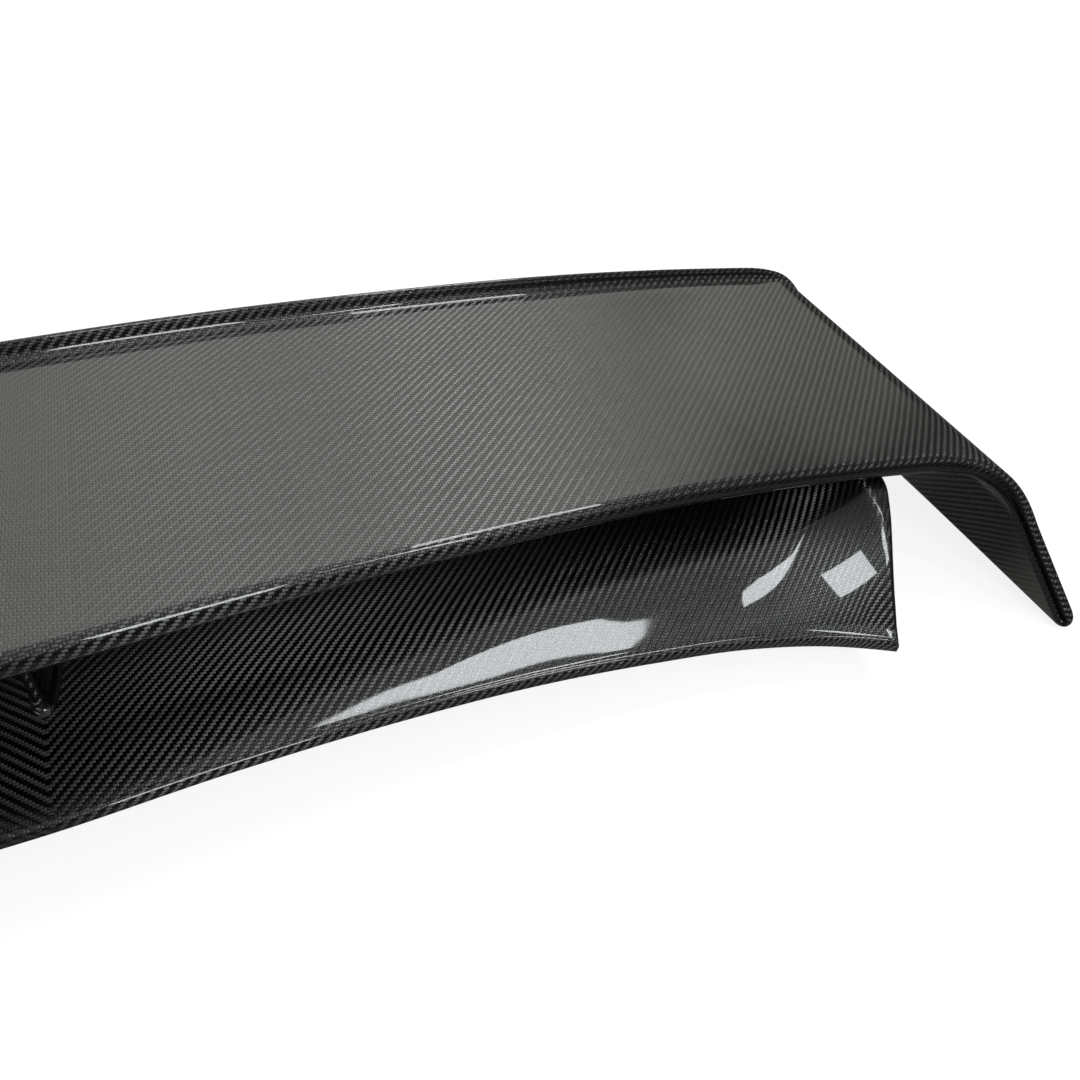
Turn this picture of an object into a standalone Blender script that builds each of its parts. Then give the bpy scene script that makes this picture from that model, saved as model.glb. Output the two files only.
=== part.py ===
"""Racing rear wing: arched two-skin carbon blade with drooping ends, carried over a
deck base by two swept-up ends and one centre post.  Blender 4.5, metres, +Z up."""
import bpy, bmesh
import numpy as np
from math import pi, sin, cos, tan, atan, radians, sqrt
from mathutils import Vector

for ob in list(bpy.data.objects):
    bpy.data.objects.remove(ob, do_unlink=True)

# ------------------------------------------------------------------ driving dimensions, mm
ARCH = 1.68e-4          # blade arch: z = -ARCH * x^2
X_BEND = 617.0          # half span where the shoulder starts
R_BEND = 57.0           # shoulder radius
DROOP = radians(69.0)   # droop angle below horizontal
S_END = 746.5           # developed half span, measured along the blade
FLARE = 8.0e-5          # the blade grows this much wider per mm of chord
DROOP_FALL = 0.0594     # fall of the droop's lower edge per mm of chord
T_BLADE = 15.0          # blade thickness at the nose
T_REAR = 9.0            # blade thickness at the trailing edge
SKIN = 2.0              # laminate thickness of the blade skins
LIP_H = 11.4            # kick-up lip height
INCIDENCE = radians(3.4)  # blade incidence to the droops' lower edges
LEADING = [(0, 4.2), (60, 5.6), (110, 7.9), (165, 10.7), (253, 14.6), (316, 17.7), (372, 20.3), (432, 21.2),
           (497, 21.0), (560, 20.6), (590, 19.3), (612, 14.0), (640, -1.0), (675, -24.0), (703, -47.0),
           (736, -74.0), (770, -102.0)]                      # developed span, leading edge y
TRAILING = [(0, 260.5), (120, 262.5), (270, 267.5), (350, 273.0), (440, 281.0), (535, 289.5),
            (600, 294.5), (650, 294.5), (700, 284.0), (770, 256.0)]

X_BASE_FRONT = 517.0    # half span of the base at its front corner
X_BASE_TOP = 545.0      # half span of the base under the blade
Y_BLEND = 45.0          # where the base's front slope meets its flat
Y_BASE_REAR = 215.0
Z_FLAT = -97.0          # base flat, below the blade's top
BASE_WALL = 2.4
BASE_LIP = 6.0          # height of the base's front wall
FRONT_EDGE = [(0, -13.7), (90, -9.4), (180, -6.8), (270, -8.2), (350, -15.2), (420, -25.2),
              (480, -42.2), (517, -58.7), (560, -82.0)]      # x, front edge y
END_LINE = [(0.0, 545.0), (0.224, 543.5), (0.336, 538.0), (0.55, 528.5), (0.738, 522.5),
            (0.907, 519.0), (1.0, 517.0)]                    # front-slope fraction, end-edge x
BOND_GAP = 1.0          # gap between the swept-up ends and the blade

POST_Y, POST_LEN, POST_W = 104.0, 100.0, 16.0
STUDS = [(-400, 70), (-265, 170), (-130, 70), (130, 70), (265, 170), (400, 70)]
STUD_R, STUD_DROP, PAD_R, PAD_T = 3.0, 24.0, 15.0, 4.0
BOLT_R = 3.0
GAP = 0.3               # clearance kept between touching pieces
FIN_BOLT_X, FIN_BOLT_Y = 531.0, (85.0, 160.0)


# ------------------------------------------------------------------ helpers
def spline(tab, x):
    """cubic Hermite through a short table; the first slope is zero when the table starts at 0"""
    tx = np.array([p[0] for p in tab], float)
    ty = np.array([p[1] for p in tab], float)
    d = np.gradient(ty, tx)
    if tx[0] == 0:
        d[0] = 0.0
    x = np.clip(np.asarray(x, float), tx[0], tx[-1])
    i = np.clip(np.searchsorted(tx, x, side="right") - 1, 0, len(tx) - 2)
    h = tx[i + 1] - tx[i]
    t = (x - tx[i]) / h
    return ((2 * t**3 - 3 * t**2 + 1) * ty[i] + (t**3 - 2 * t**2 + t) * h * d[i]
            + (-2 * t**3 + 3 * t**2) * ty[i + 1] + (t**3 - t**2) * h * d[i + 1])


def smooth(t):
    t = np.clip(t, 0.0, 1.0)
    return t * t * (3 - 2 * t)


def softmin(a, b, k):
    h = np.clip(0.5 + 0.5 * (b - a) / k, 0, 1)
    return b * (1 - h) + a * h - k * h * (1 - h)


CI, SI = cos(INCIDENCE), sin(INCIDENCE)


def tip_frame(p):
    """blade frame -> part frame before the origin shift: nose down by the incidence"""
    p = np.asarray(p, float)
    q = p.copy()
    q[..., 1] = p[..., 1] * CI - p[..., 2] * SI
    q[..., 2] = p[..., 1] * SI + p[..., 2] * CI
    return q


TH0 = atan(2 * ARCH * X_BEND)
S_BEND = R_BEND * (DROOP - TH0)


def centreline(s):
    """developed span -> x, z, slope angle of the blade's top line"""
    s = np.asarray(s, float)
    x = np.minimum(s, X_BEND)
    z = -ARCH * x * x
    th = np.arctan(2 * ARCH * x)
    a = np.clip(s - X_BEND, 0, S_BEND) / R_BEND
    th = np.where(s > X_BEND, TH0 + a, th)
    x = x + R_BEND * (np.sin(TH0 + a) - sin(TH0))
    z = z - R_BEND * (cos(TH0) - np.cos(TH0 + a))
    l = np.maximum(s - X_BEND - S_BEND, 0)
    return x + l * cos(DROOP), z - l * sin(DROOP), th


def blade_point(s, y, h, side=1.0):
    """developed span s, chord y, height h above the top surface"""
    w = smooth((s - X_BEND) / (S_END - X_BEND - 20))
    x, z, th = centreline(s + w * DROOP_FALL * (y + 70.0))
    x, z = x + h * np.sin(th), z + h * np.cos(th)
    return tip_frame(np.stack([side * x * (1 + FLARE * y), y + 0 * x, z], -1))


def thickness(s):
    """full thickness, rounding down over the last part of the droop"""
    r = T_BLADE / 2
    q = np.clip((s - (S_END - r)) / r, 0, 1)
    return np.maximum(T_BLADE * np.sqrt(1 - q * q), 5.4)


def edges(s):
    rc, rr = 12.0, 26.0
    q = np.clip((s - (S_END - rc)) / rc, 0, 1)
    q2 = np.clip((s - (S_END - rr)) / rr, 0, 1)
    y0 = spline(LEADING, s) + rc * (1 - np.sqrt(1 - (0.97 * q)**2))
    y1 = spline(TRAILING, s) - rr * (1 - np.sqrt(1 - (0.97 * q2)**2))
    return float(y0), float(y1)


def nose_arc(yc, hc, r, a0, a1, n):
    return [(yc + r * cos(radians(a)), hc + r * sin(radians(a))) for a in np.linspace(a0, a1, n)]


def upper_section(s):
    """outer and inner path of the upper skin at one station, as (y, h)"""
    T = float(thickness(s)); y0, y1 = edges(s); ht = -(T_BLADE - T) / 2
    tr = 5.2 + (T_REAR - 5.2) * (T - 5.4) / (T_BLADE - 5.4)
    lip = 1 - float(smooth((s - 590.0) / 75.0))
    H = LIP_H * (0.78 + 0.22 * (1 - float(smooth((s - 300) / 260))))
    fk = H / LIP_H
    yc, hc = y0 + T / 2, ht - T / 2
    outer = nose_arc(yc, hc, T / 2, 218, 90, 8)
    inner = nose_arc(yc, hc, T / 2 - SKIN, 218, 90, 8)
    for f in (0.2, 0.4, 0.6, 0.8, 1.0):
        y = yc + f * (y1 - 8 - yc)
        outer.append((y, ht)); inner.append((min(y, y1 - 8.2), ht - SKIN))
    L = [(-8 + 8 * sin(a), 8 * fk * (1 - cos(a))) for a in (pi / 6, pi / 3, pi / 2)]
    L += [(0.8, H - 2), (1.6, H - 0.6), (3.0, H), (4.4, H - 0.6), (5.0, H - 2), (6.0, 0.0),
          (6.5, -tr * 0.83), (6.5, -tr)]
    N = [(-5.3, 0), (-2.7, 0), (0, 0), (1.0, 0), (2.5, -0.05), (4.2, -0.5), (5.4, -1.3), (6.1, -0.3 * tr),
         (6.5, -0.5 * tr), (6.5, -0.83 * tr), (6.5, -tr)]
    NI = [(-6, -2), (-3.5, -2), (-1, -2), (0.5, -2), (1.5, -2.02), (2.6, -2.1), (3.4, -2.2), (4.0, -2.35),
          (4.4, -max(2.6, 0.55 * tr)), (4.4, -0.83 * tr), (4.4, -tr)]
    for (ly, lh), (ny, nh), (iy, ih) in zip(L, N, NI):
        outer.append((y1 + lip * ly + (1 - lip) * ny, ht + lip * lh + (1 - lip) * nh))
        inner.append((y1 + iy, ht + ih))
    return outer, inner, ht


def lower_section(s):
    T = float(thickness(s)); y0, y1 = edges(s); ht = -(T_BLADE - T) / 2
    tr = 5.2 + (T_REAR - 5.2) * (T - 5.4) / (T_BLADE - 5.4)
    yc, hc = y0 + T / 2, ht - T / 2
    ya, ha, yb, hb = y1 + 4.4 - GAP, ht - tr, yc, ht - T
    outer = [(ya + (yb - ya) * f, ha + (hb - ha) * f) for f in (0, 0.2, 0.4, 0.6, 0.8)]
    inner = [(a, b + SKIN) for a, b in outer]
    outer += nose_arc(yc, hc, T / 2, 270, 220.5, 5)
    inner += nose_arc(yc, hc, T / 2 - SKIN, 270, 221.5, 5)
    return outer, inner, ht


def add_object(name, bm, mat, smooth_deg=35):
    bmesh.ops.recalc_face_normals(bm, faces=bm.faces)
    me = bpy.data.meshes.new(name)
    bm.to_mesh(me); bm.free()
    ob = bpy.data.objects.new(name, me)
    bpy.context.scene.collection.objects.link(ob)
    me.materials.append(mat)
    me.shade_smooth()
    me.set_sharp_from_angle(angle=radians(smooth_deg))
    return ob


def material(name, rgb, rough, metal):
    m = bpy.data.materials.new(name)
    m.use_nodes = True
    b = m.node_tree.nodes["Principled BSDF"]
    b.inputs["Base Color"].default_value = (*rgb, 1)
    b.inputs["Roughness"].default_value = rough
    b.inputs["Metallic"].default_value = metal
    return m


def thick_sheet(name, outer, inner, mat):
    """closed body from two matching point grids [i][j]"""
    bm = bmesh.new()
    o = [[bm.verts.new(Vector(p) * 0.001) for p in row] for row in outer]
    n = [[bm.verts.new(Vector(p) * 0.001) for p in row] for row in inner]
    a, b = len(o), len(o[0])
    for i in range(a - 1):
        for j in range(b - 1):
            bm.faces.new((o[i][j], o[i + 1][j], o[i + 1][j + 1], o[i][j + 1]))
            bm.faces.new((n[i][j], n[i][j + 1], n[i + 1][j + 1], n[i + 1][j]))
    for i in range(a - 1):
        for j in (0, b - 1):
            bm.faces.new((o[i][j], o[i + 1][j], n[i + 1][j], n[i][j]))
    for j in range(b - 1):
        for i in (0, a - 1):
            bm.faces.new((o[i][j], o[i][j + 1], n[i][j + 1], n[i][j]))
    bmesh.ops.triangulate(bm, faces=bm.faces)
    return add_object(name, bm, mat)


def lathe(name, prof, x, y, mat, n=16):
    """closed turned body about a vertical axis; prof is (r, z) from the lower axis end to the upper"""
    bm = bmesh.new()
    rings = []
    for k, (r, z) in enumerate(prof):
        if r == 0:
            rings.append([bm.verts.new((x * 0.001, y * 0.001, z * 0.001))])
            continue
        ring = []
        for i in range(n):
            a = 2 * pi * i / n
            ring.append(bm.verts.new(((x + r * cos(a)) * 0.001, (y + r * sin(a)) * 0.001, z * 0.001)))
        rings.append(ring)
    for a, b in zip(rings, rings[1:]):
        for i in range(n):
            j = (i + 1) % n
            if len(a) == 1:
                bm.faces.new((a[0], b[j], b[i]))
            elif len(b) == 1:
                bm.faces.new((a[i], a[j], b[0]))
            else:
                bm.faces.new((a[i], a[j], b[j], b[i]))
    return add_object(name, bm, mat)


def ring_body(name, ri, ro, z0, z1, x, y, mat, n=16, top=None):
    """washer or pad: a tube about a vertical axis; top(x, y) lets its upper face follow a surface"""
    bm = bmesh.new()
    R = []
    for r, lvl in ((ri, 0), (ro, 0), (ro, 1), (ri, 1)):
        ring = []
        for i in range(n):
            a = 2 * pi * i / n
            px, py = x + r * cos(a), y + r * sin(a)
            pz = z0 if lvl == 0 else (z1 if top is None else top(px, py))
            ring.append(bm.verts.new((px * 0.001, py * 0.001, pz * 0.001)))
        R.append(ring)
    for k in range(4):
        a, b = R[k], R[(k + 1) % 4]
        for i in range(n):
            j = (i + 1) % n
            bm.faces.new((a[i], a[j], b[j], b[i]))
    return add_object(name, bm, mat)


def cut(ob, cutters):
    for c in cutters:
        m = ob.modifiers.new("cut_" + c.name, "BOOLEAN")
        m.operation, m.solver, m.object = "DIFFERENCE", "EXACT", c


def cutter(name, x, y, r, z0, z1, n=16):
    bm = bmesh.new()
    lo = [bm.verts.new(((x + r * cos(2 * pi * i / n)) * 0.001, (y + r * sin(2 * pi * i / n)) * 0.001, z0 * 0.001))
          for i in range(n)]
    hi = [bm.verts.new((v.co.x, v.co.y, z1 * 0.001)) for v in lo]
    for i in range(n):
        j = (i + 1) % n
        bm.faces.new((lo[i], lo[j], hi[j], hi[i]))
    bm.faces.new(lo[::-1]); bm.faces.new(hi)
    ob = add_object(name, bm, CARBON)
    ob.hide_render = True
    ob.display_type = "WIRE"
    return ob


# ------------------------------------------------------------------ materials
CARBON = material("carbon_gloss", (0.030, 0.031, 0.033), 0.12, 0.0)
CARBON_IN = material("carbon_inner", (0.035, 0.035, 0.037), 0.45, 0.0)
FOAM = material("spar_composite", (0.050, 0.050, 0.052), 0.6, 0.0)
ALU = material("aluminium", (0.72, 0.73, 0.75), 0.35, 1.0)
STEEL = material("stainless_steel", (0.62, 0.61, 0.59), 0.30, 1.0)
RUBBER = material("seal_rubber", (0.020, 0.020, 0.020), 0.85, 0.0)

# ------------------------------------------------------------------ blade skins
HALF = [0, 80, 160, 240, 320, 400, 480, 545, 585, 605, 617, 629, 640, 652, 663, 674, 700, 722, 737, 742.5, 745.5, 746.5]
STATIONS = [-s for s in HALF[:0:-1]] + HALF


def skin_grid(section):
    outs, ins = [], []
    for s in STATIONS:
        side = -1.0 if s < 0 else 1.0
        o, n, ht = section(abs(s))
        outs.append([tuple(blade_point(float(abs(s)), y, h, side)) for y, h in o])
        ins.append([tuple(blade_point(float(abs(s)), y, h, side)) for y, h in n])
    return outs, ins


def solve_on(fun, x, y):
    """height in the part frame of a blade-frame surface z = fun(x, y), above part-frame (x, y)"""
    yb = y
    for _ in range(12):
        z = float(fun(x, yb))
        yb += y - (yb * CI - z * SI)
    return yb * SI + float(fun(x, yb)) * CI


def blade_under(x, y):
    """blade frame z of the blade's underside"""
    x = abs(x) / (1 + FLARE * y)
    y0, y1 = float(spline(LEADING, x)) + T_BLADE / 2, float(spline(TRAILING, x)) + 4.1
    f = min(max((y - y0) / (y1 - y0), 0), 1)
    return -ARCH * x * x - (T_BLADE + (T_REAR - T_BLADE) * f) / cos(atan(2 * ARCH * x))


# ------------------------------------------------------------------ base surfaces (blade frame)
def front_z(x):
    return -106.0 - 0.083 * (np.sqrt(x * x + 6400.0) - 80.0)


def base_flat(x, y):
    raw = Z_FLAT + 31.0 * np.maximum(0.0, (x - 405.0) / 117.0) ** 3
    cap = -ARCH * x * x - (T_BLADE + (T_REAR - T_BLADE) * np.clip((y - 27) / 262.0, 0, 1)) - BOND_GAP - 0.35
    return softmin(raw, cap, 3.0)


def base_top(u, t, y=None):
    """u in 0..1 across the half span; t = 1 at the front edge, 0 at the blend line; y past it"""
    xf = u * X_BASE_FRONT
    yf = float(spline(FRONT_EDGE, xf))
    x = u * float(spline(END_LINE[::1], t))
    if y is None:
        y = Y_BLEND + (yf - Y_BLEND) * t
    p = 1.35 + 0.65 * float(smooth((xf - 330.0) / 187.0))
    zt = float(base_flat(x, y))
    ze = float(front_z(xf))
    return x, y, zt - (zt - ze) * t ** p


def base_under(x, y):
    """blade frame z of the base's lower face"""
    xf = min(abs(x), X_BASE_FRONT)
    return float(front_z(xf)) - BASE_LIP - 0.02 * (y + 17.5)


U_COLS = [0, 0.13, 0.26, 0.39, 0.52, 0.64, 0.73, 0.80, 0.85, 0.90, 0.935, 0.965, 1.0]
T_ROWS = [1.0, 0.9, 0.78, 0.64, 0.48, 0.32, 0.16, 0.0]
Y_ROWS = [85.0, 130.0, 175.0, 215.0]


def base_solid(name, inset, drop, floor, mat):
    """closed block under the base's top surface; inset shrinks it in plan, drop lowers its top"""
    us = [-u for u in U_COLS[:0:-1]] + U_COLS
    top, bot = [], []
    for u in us:
        side = -1.0 if u < 0 else 1.0
        col_t, col_b = [], []
        rows = [base_top(abs(u), t) for t in T_ROWS] + [base_top(abs(u), 0.0, y) for y in Y_ROWS]
        yf, yr = rows[0][1], rows[-1][1]
        for x, y, z in rows:
            k = (y - yf) / (yr - yf)
            x2 = x * (1 - inset / X_BASE_TOP)
            y2 = yf + inset + k * (yr - yf - 2 * inset)
            zl = base_under(x, y)
            zt = max(z - drop, zl + 0.8 if floor < 0 else zl + BASE_LIP * 0.5)
            col_t.append(tuple(tip_frame((side * x2, y2, zt))))
            col_b.append(tuple(tip_frame((side * x2, y2, zl + floor))))
        top.append(col_t); bot.append(col_b)
    return thick_sheet(name, top, bot, mat)


def rot_y(y, z):
    return y * CI - z * SI


# ------------------------------------------------------------------ build: skins
o, n = skin_grid(upper_section)
blade_upper = thick_sheet("blade_upper_skin", o, n, CARBON)
o, n = skin_grid(lower_section)
blade_lower = thick_sheet("blade_lower_skin", o, n, CARBON)


def spar(name, y_a, y_b, mat, xs, clear=0.5):
    """box spar filling the height between the skins"""
    outs, ins = [], []
    for s in xs:
        side = -1.0 if s < 0 else 1.0
        a = abs(float(s))
        o_row, i_row = [], []
        y0, y1 = float(spline(LEADING, a)), float(spline(TRAILING, a))
        for f in (0.0, 1.0):
            y = y0 + (y_a if f == 0 else y_b)
            k = (y - y0 - T_BLADE / 2) / (y1 + 4.1 - y0 - T_BLADE / 2)
            low = -(T_BLADE + (T_REAR - T_BLADE) * k)
            o_row.append(tuple(blade_point(a, y, -SKIN - clear, side)))
            i_row.append(tuple(blade_point(a, y, low + SKIN + clear, side)))
        outs.append(o_row); ins.append(i_row)
    return thick_sheet(name, outs, ins, mat)


SPAR_X = [-600, -545, -480, -400, -320, -240, -160, -80, 0, 80, 160, 240, 320, 400, 480, 545, 600]
front_spar = spar("front_spar", 28.0, 36.0, FOAM, SPAR_X)
rear_spar = spar("rear_spar", 185.0, 195.0, FOAM, SPAR_X)

# ------------------------------------------------------------------ build: base
base_upper = base_solid("base_upper_shell", 0.0, 0.0, 0.0, CARBON)
hollow = base_solid("base_hollow", BASE_WALL, BASE_WALL, -6.0, CARBON)
hollow.hide_render = True
hollow.display_type = "WIRE"
cut(base_upper, [hollow])


def closing_skin():
    us = [-u for u in U_COLS[:0:-1]] + U_COLS
    top, bot = [], []
    inset = BASE_WALL + 0.5
    for u in us:
        side = -1.0 if u < 0 else 1.0
        ct, cb = [], []
        rows = [base_top(abs(u), t) for t in T_ROWS] + [base_top(abs(u), 0.0, y) for y in Y_ROWS]
        yf, yr = rows[0][1], rows[-1][1]
        for x, y, z in rows:
            k = (y - yf) / (yr - yf)
            x2, y2 = side * x * (1 - inset / X_BASE_TOP), yf + inset + k * (yr - yf - 2 * inset)
            zl = base_under(x, y)
            ct.append(tuple(tip_frame((x2, y2, zl + 1.8))))
            cb.append(tuple(tip_frame((x2, y2, zl))))
        top.append(ct); bot.append(cb)
    return thick_sheet("base_closing_skin", top, bot, CARBON_IN)


base_lower = closing_skin()

# ------------------------------------------------------------------ build: centre post
def base_top_z(x, y):
    """part-frame height of the base's top flat above part-frame (x, y)"""
    return solve_on(lambda a, b: float(base_flat(abs(a), b)), x, y)


def under_z(x, y):
    return solve_on(blade_under, x, y)


def lower_z(x, y):
    return solve_on(base_under, x, y)


POST_YP = POST_Y + 97 * SI
N_POST = 28


def post_ring(hw, hl, ang, rake):
    """teardrop: rounder in front, finer behind"""
    c, s_ = cos(ang), sin(ang)
    c = (1 if c > 0 else -1) * abs(c) ** 0.75
    return hw * c * (1 - 0.28 * (1 + s_) / 2 * abs(s_)), POST_YP + rake + hl * s_


bm = bmesh.new()
lv = [(0.0, 1.35, 1.10), (0.03, 1.12, 1.03), (0.08, 1.0, 1.0), (0.5, 1.0, 0.97), (0.9, 1.05, 0.98), (0.97, 1.25, 1.02),
      (1.0, 1.55, 1.06)]
outer, inner = [], []
for f, kw, kl in lv:
    ro, ri = [], []
    for i in range(N_POST):
        a = 2 * pi * i / N_POST
        x, y = post_ring(POST_W / 2 * kw, POST_LEN / 2 * kl, a, 4.0 * f)
        z0, z1 = base_top_z(x, y) + GAP, under_z(x, y) - GAP
        ro.append(bm.verts.new((x * 0.001, y * 0.001, (z0 + f * (z1 - z0)) * 0.001)))
        x, y = post_ring(POST_W / 2 - 1.6, POST_LEN / 2 - 2.4, a, 4.0 * f)
        z0, z1 = base_top_z(x, y) + GAP, under_z(x, y) - GAP
        ri.append(bm.verts.new((x * 0.001, y * 0.001, (z0 + f * (z1 - z0)) * 0.001)))
    outer.append(ro); inner.append(ri)
for grid in (outer, inner):
    for a, b in zip(grid, grid[1:]):
        for i in range(N_POST):
            j = (i + 1) % N_POST
            bm.faces.new((a[i], a[j], b[j], b[i]))
for k in (0, -1):
    for i in range(N_POST):
        j = (i + 1) % N_POST
        bm.faces.new((outer[k][i], outer[k][j], inner[k][j], inner[k][i]))
post = add_object("centre_post", bm, CARBON)

POST_BOLTS = [POST_YP - 19.0, POST_YP + 19.0]


def box(name, x0, x1, y0, y1, z0, z1, mat, bevel=0.0):
    bm = bmesh.new()
    bmesh.ops.create_cube(bm, size=1.0)
    for v in bm.verts:
        v.co = Vector(((x0 if v.co.x < 0 else x1), (y0 if v.co.y < 0 else y1), (z0 if v.co.z < 0 else z1))) * 0.001
    if bevel:
        vert = [e for e in bm.edges if abs(e.verts[0].co.z - e.verts[1].co.z) > 1e-6]
        bmesh.ops.bevel(bm, geom=vert, offset=bevel * 0.001, segments=2, affect="EDGES", clamp_overlap=True)
    return add_object(name, bm, mat)


core_cuts, base_cuts, lower_cuts, insert_cuts = [], [], [], []

# ------------------------------------------------------------------ build: core, inserts, bolts
def skin_gap(x, y):
    """part-frame z of the free space between the blade skins over (x, y)"""
    lo = under_z(x, y) + SKIN
    hi = solve_on(lambda a, b: -ARCH * (abs(a) / (1 + FLARE * b)) ** 2 - SKIN, x, y)
    return lo, hi


def block(name, x0, x1, y0, y1, lo, hi, mat, nx=3, ny=2):
    """block whose lower and upper faces follow lo(x, y) and hi(x, y)"""
    outs, ins = [], []
    for x in np.linspace(x0, x1, nx):
        outs.append([(x, y, hi(x, y)) for y in np.linspace(y0, y1, ny)])
        ins.append([(x, y, lo(x, y)) for y in np.linspace(y0, y1, ny)])
    return thick_sheet(name, outs, ins, mat)


def insert(name, x, w, ys, mat):
    y0, y1 = min(ys) - 14, max(ys) + 14
    ob = block(name, x - w, x + w, y0, y1, lambda a, b: skin_gap(a, b)[0] + 0.5, lambda a, b: skin_gap(a, b)[1] - 0.5, mat)
    return ob


def bolt(name, x, y, z_head, z_tip, mat):
    """button-head bolt, head down, shank up"""
    return lathe(name, [(0, z_head - 3.4), (3.2, z_head - 3.4), (5.2, z_head - 2.2), (5.4, z_head), (BOLT_R, z_head),
                        (BOLT_R, z_tip - 0.8), (BOLT_R - 0.8, z_tip), (0, z_tip)], x, y, mat, n=12)


core = block("post_core", -4.2, 4.2, POST_YP - 27, POST_YP + 27, lambda a, b: base_top_z(a, b) + GAP,
             lambda a, b: under_z(a, b) - GAP, ALU)
ins_c = insert("blade_insert_centre", 0.0, 13.0, POST_BOLTS, ALU)
for k, y in enumerate(POST_BOLTS):
    top_in = base_top_z(0, y) - BASE_WALL / CI
    wz = top_in - 0.5
    ring_body(f"post_washer_{k + 1}", BOLT_R + GAP, 6.5, wz - 1.2, wz, 0, y, STEEL, n=12)
    lo_c, hi_c = skin_gap(0, y)
    bolt(f"post_bolt_{k + 1}", 0, y, wz - 1.2 - GAP, hi_c - 2.6, STEEL)
    core_cuts.append(cutter(f"cut_core_{k}", 0, y, BOLT_R + GAP, top_in - 5, under_z(0, y) + 5))
    base_cuts.append(cutter(f"cut_basehole_{k}", 0, y, BOLT_R + GAP, top_in - 6, top_in + 8))
    lower_cuts.append(cutter(f"cut_lowerhole_{k}", 0, y, BOLT_R + GAP, under_z(0, y) - 4, under_z(0, y) + SKIN + 2))
    insert_cuts.append((ins_c, cutter(f"cut_insert_{k}", 0, y, BOLT_R + GAP, lo_c - 5, hi_c - 2.2)))
cut(core, core_cuts)

for side, tag in ((-1, "left"), (1, "right")):
    xb = side * FIN_BOLT_X
    ins = insert(f"blade_insert_{tag}", xb, 12.0, FIN_BOLT_Y, ALU)
    # the bracket bar lies under the swept-up end's top wall
    ys = (FIN_BOLT_Y[0] - 14, FIN_BOLT_Y[1] + 14)
    under = lambda a, b: solve_on(lambda p, q: float(base_flat(abs(p), q)), a, b) - BASE_WALL
    bar = min(under(xb + side * dx, y) for dx in (-9, 0, 7) for y in (ys[0], sum(ys) / 2, ys[1])) - 1.2
    br = box(f"end_bracket_{tag}", xb - 6, xb + 6, ys[0], ys[1], bar - 3.0, bar, ALU, 2.0)
    br_cuts, fin_holes = [], []
    for k, y in enumerate(FIN_BOLT_Y):
        zt, zb = bar + 4.0, bar - 3.0 - GAP
        ring_body(f"end_washer_{tag}_{k + 1}", BOLT_R + GAP, 5.8, zb - 1.2, zb, xb, y, STEEL, n=12)
        lo, hi = skin_gap(xb, y)
        bolt(f"end_bolt_{tag}_{k + 1}", xb, y, zb - 1.2 - GAP, hi - 2.6, STEEL)
        br_cuts.append(cutter(f"cut_bracket_{tag}_{k}", xb, y, BOLT_R + GAP, zb - 4, zt + 4))
        base_cuts.append(cutter(f"cut_finhole_{tag}_{k}", xb, y, BOLT_R + GAP, zt - 9, zt + 9))
        lower_cuts.append(cutter(f"cut_finlow_{tag}_{k}", xb, y, BOLT_R + GAP, under_z(xb, y) - 4,
                                 under_z(xb, y) + SKIN + 2.5))
        insert_cuts.append((ins, cutter(f"cut_fininsert_{tag}_{k}", xb, y, BOLT_R + GAP, lo - 5, hi - 2.2)))
    cut(br, br_cuts)
for ob, c in insert_cuts:
    cut(ob, [c])
cut(blade_lower, lower_cuts)
cut(base_upper, base_cuts)

# ------------------------------------------------------------------ build: deck fixings
skin_cuts = []
FACE = {}
for k, (x, y) in enumerate(STUDS, 1):
    z = min(lower_z(x + a, y + b) for a in (-PAD_R, 0, PAD_R) for b in (-PAD_R, 0, PAD_R))
    face = z - GAP - PAD_T
    FACE[k] = (x, y, face)
    ring_body(f"mounting_pad_{k}", STUD_R + GAP, PAD_R, face, 0, x, y, ALU, n=20,
              top=lambda a, b: lower_z(a, b) - GAP)
    zt = max(lower_z(x + a, y + b) for a in (-11, 0, 11) for b in (-11, 0, 11)) + 1.8 + GAP + 0.1
    lathe(f"mounting_stud_{k}", [(0, face - STUD_DROP), (STUD_R - 0.8, face - STUD_DROP), (STUD_R, face - STUD_DROP + 0.8),
                                 (STUD_R, zt), (10.0, zt), (10.0, zt + 1.6), (0, zt + 1.6)], x, y, STEEL, n=12)
    skin_cuts.append(cutter(f"cut_stud_{k}", x, y, STUD_R + GAP, z - 3, zt + 2))
for k, y in enumerate(POST_BOLTS):
    z = lower_z(0, y)
    skin_cuts.append(cutter(f"cut_access_{k}", 0, y, 8.0, z - 3, z + 4, 20))
    lathe(f"access_plug_{k + 1}", [(0, z - 2.6), (9.3, z - 2.6), (9.9, z - 2.0), (9.9, z - 0.8), (7.6, z - 0.8),
                                   (7.6, z + 1.6), (7.0, z + 2.2), (0, z + 2.2)], 0, y, RUBBER, n=20)
cut(base_lower, skin_cuts)


def seal(name, y_off_a, y_off_b, rear):
    """foam strip under the closing skin, along the front or the rear edge"""
    outs, ins = [], []
    for u in [-u for u in U_COLS[-2:0:-1]] + U_COLS[:-1]:
        x = u * X_BASE_FRONT
        yf = float(spline(FRONT_EDGE, abs(x)))
        base = Y_BASE_REAR if rear else yf
        o_row, i_row = [], []
        for y in (base + y_off_a, base + y_off_b):
            z = base_under(abs(x), y) - 0.9
            o_row.append(tuple(tip_frame((x, y, z))))
            i_row.append(tuple(tip_frame((x, y, z - 3.0))))
        outs.append(o_row); ins.append(i_row)
    return thick_sheet(name, outs, ins, RUBBER)


seal("deck_seal_front", 5.0, 15.0, False)
seal("deck_seal_rear", -15.0, -5.0, True)

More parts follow.
